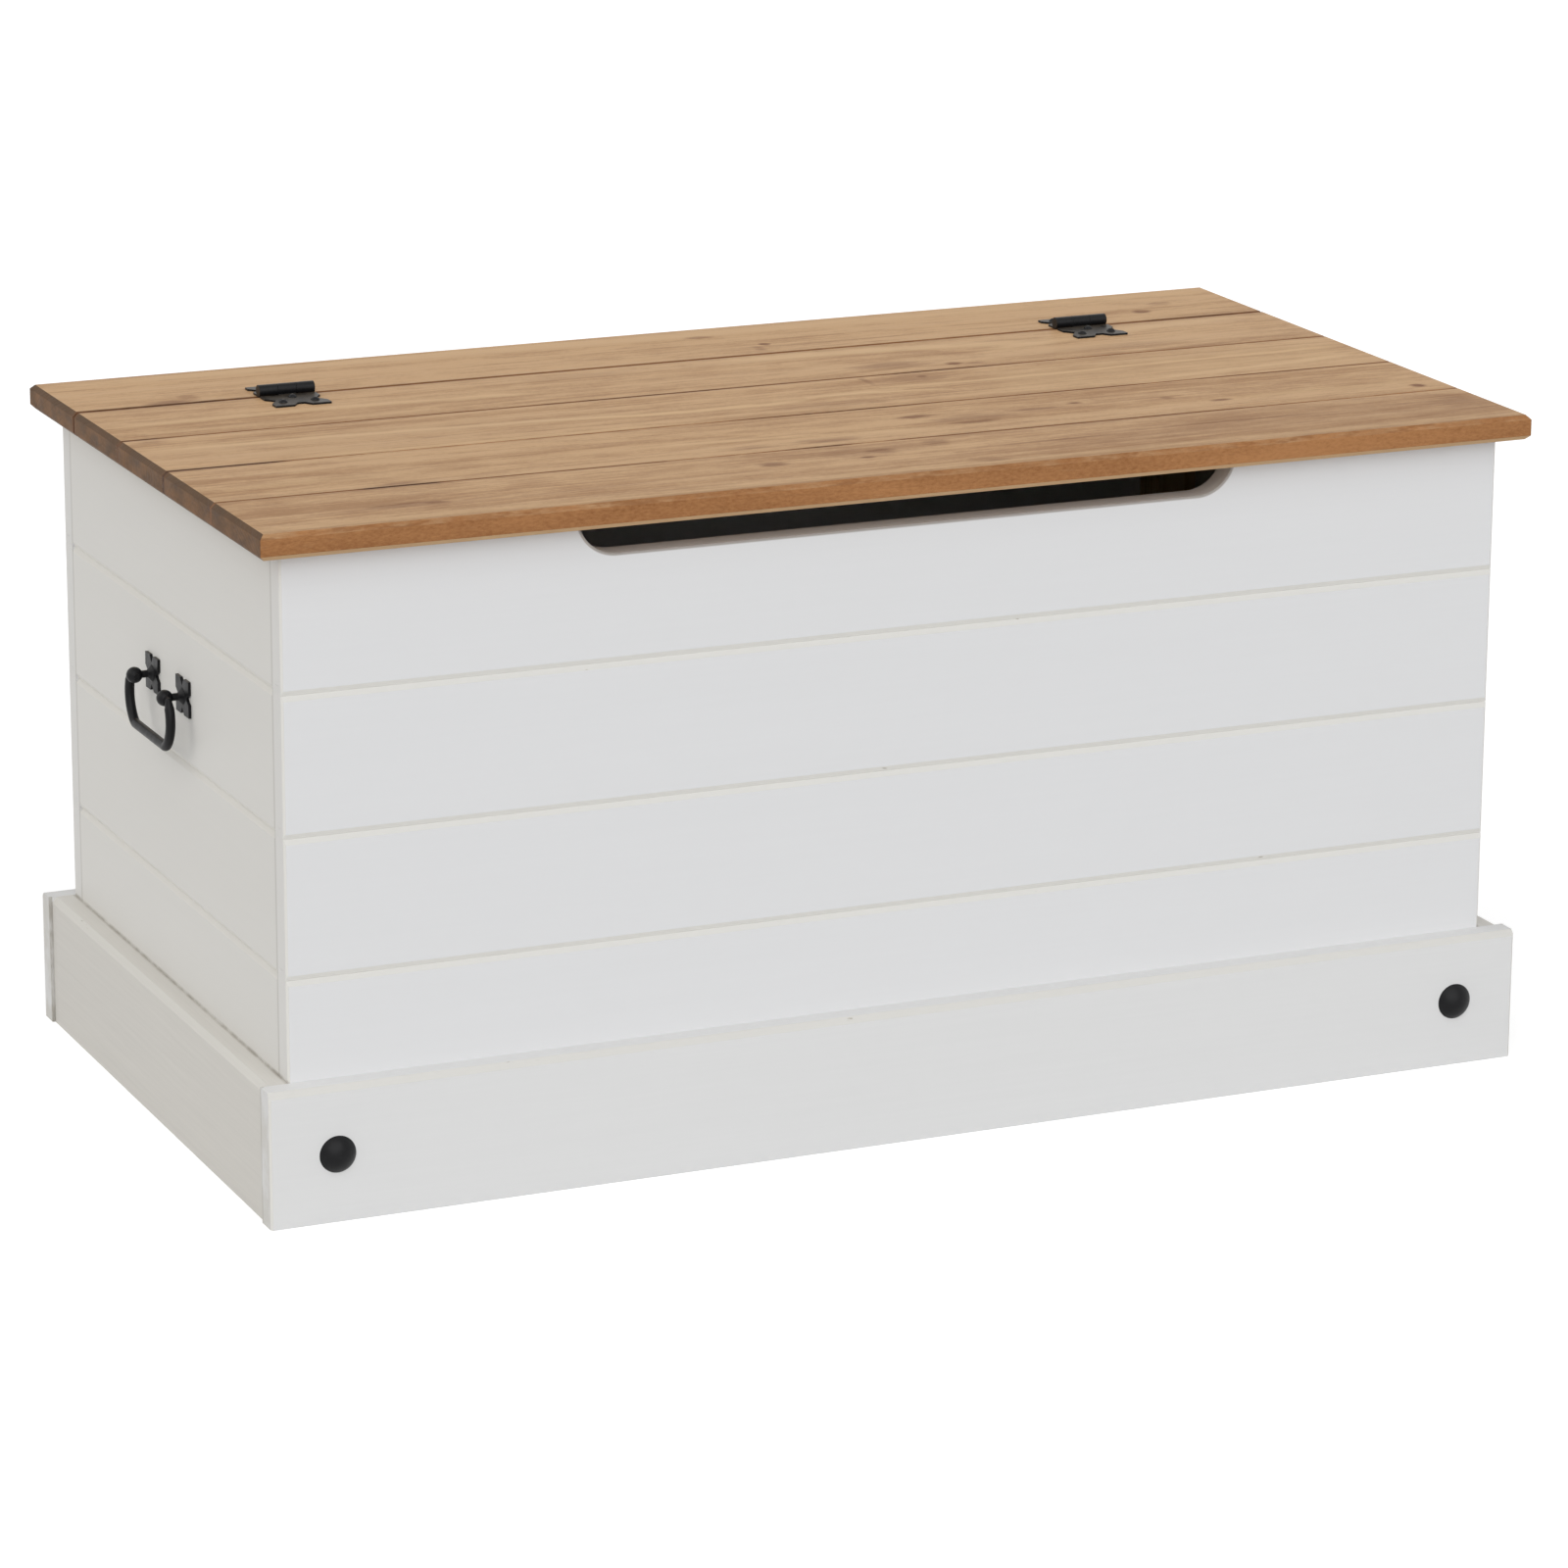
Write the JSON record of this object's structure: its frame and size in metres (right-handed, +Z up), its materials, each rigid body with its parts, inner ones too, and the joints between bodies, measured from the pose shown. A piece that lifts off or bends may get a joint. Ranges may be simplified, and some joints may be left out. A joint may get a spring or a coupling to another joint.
{
  "type": "storage trunk",
  "caption": "White-painted pine storage trunk with a waxed pine hinged lid, finger cut-out, bevelled plinth, butterfly hinges and bail side handles.",
  "frame": {"origin": "on the floor, under the middle of the trunk's body", "axes": "+Z up, -Y towards the front with the finger cut-out, +X to the trunk's right as seen from the front"},
  "size_m": [0.914, 0.493, 0.466],
  "materials": {
    "painted_pine": "white paint, satin",
    "waxed_pine": "honey-brown wax",
    "bare_pine": "planed, bare",
    "black_iron": "black, satin",
    "steel_screw": "zinc plated"
  },
  "bodies": {
    "carcass": {"back_plank_1": "painted_pine", "back_plank_2": "painted_pine", "back_plank_3": "painted_pine", "back_plank_4": "painted_pine", "base_screws": "steel_screw", "bottom_panel": "bare_pine", "cleat_back": "bare_pine", "cleat_front": "bare_pine", "cleat_left": "bare_pine", "cleat_right": "bare_pine", "corner_post_back_left": "bare_pine", "corner_post_back_right": "bare_pine", "corner_post_front_left": "bare_pine", "corner_post_front_right": "bare_pine", "front_plank_1": "painted_pine", "front_plank_2": "painted_pine", "front_plank_3": "painted_pine", "front_plank_4": "painted_pine", "left_handle_nuts": "steel_screw", "left_handle_plates": "black_iron", "left_handle_posts": "black_iron", "left_hinge_pin": "black_iron", "left_hinge_rail_leaf": "black_iron", "left_plank_1": "painted_pine", "left_plank_2": "painted_pine", "left_plank_3": "painted_pine", "left_plank_4": "painted_pine", "plinth_back": "painted_pine", "plinth_front": "painted_pine", "plinth_left": "painted_pine", "plinth_right": "painted_pine", "plinth_studs": "black_iron", "post_screws": "steel_screw", "rail_dowels": "bare_pine", "rail_leaf_screws": "black_iron", "rear_rail": "waxed_pine", "right_handle_nuts": "steel_screw", "right_handle_plates": "black_iron", "right_handle_posts": "black_iron", "right_hinge_pin": "black_iron", "right_hinge_rail_leaf": "black_iron", "right_plank_1": "painted_pine", "right_plank_2": "painted_pine", "right_plank_3": "painted_pine", "right_plank_4": "painted_pine"},
    "lid": {"batten_screws": "steel_screw", "lid_batten_left": "bare_pine", "lid_batten_right": "bare_pine", "lid_board_1": "waxed_pine", "lid_board_2": "waxed_pine", "lid_board_3": "waxed_pine", "lid_board_4": "waxed_pine", "lid_leaf_screws": "black_iron", "left_hinge_lid_leaf": "black_iron", "right_hinge_lid_leaf": "black_iron"},
    "left_bail": {"left_handle_bail": "black_iron"},
    "right_bail": {"right_handle_bail": "black_iron"}
  },
  "joints": [
    {"name": "lid_hinge", "type": "hinge", "parent": "carcass", "child": "lid", "pos_m": [0, 0.142, 0.4618], "axis": [-1, 0, 0], "range_deg": [0, 105]},
    {"name": "left_bail_pivot", "type": "hinge", "parent": "carcass", "child": "left_bail", "pos_m": [-0.4515, 0, 0.301], "axis": [0, 1, 0], "range_deg": [-17, 197]},
    {"name": "right_bail_pivot", "type": "hinge", "parent": "carcass", "child": "right_bail", "pos_m": [0.4515, 0, 0.301], "axis": [0, -1, 0], "range_deg": [-17, 197]}
  ]
}
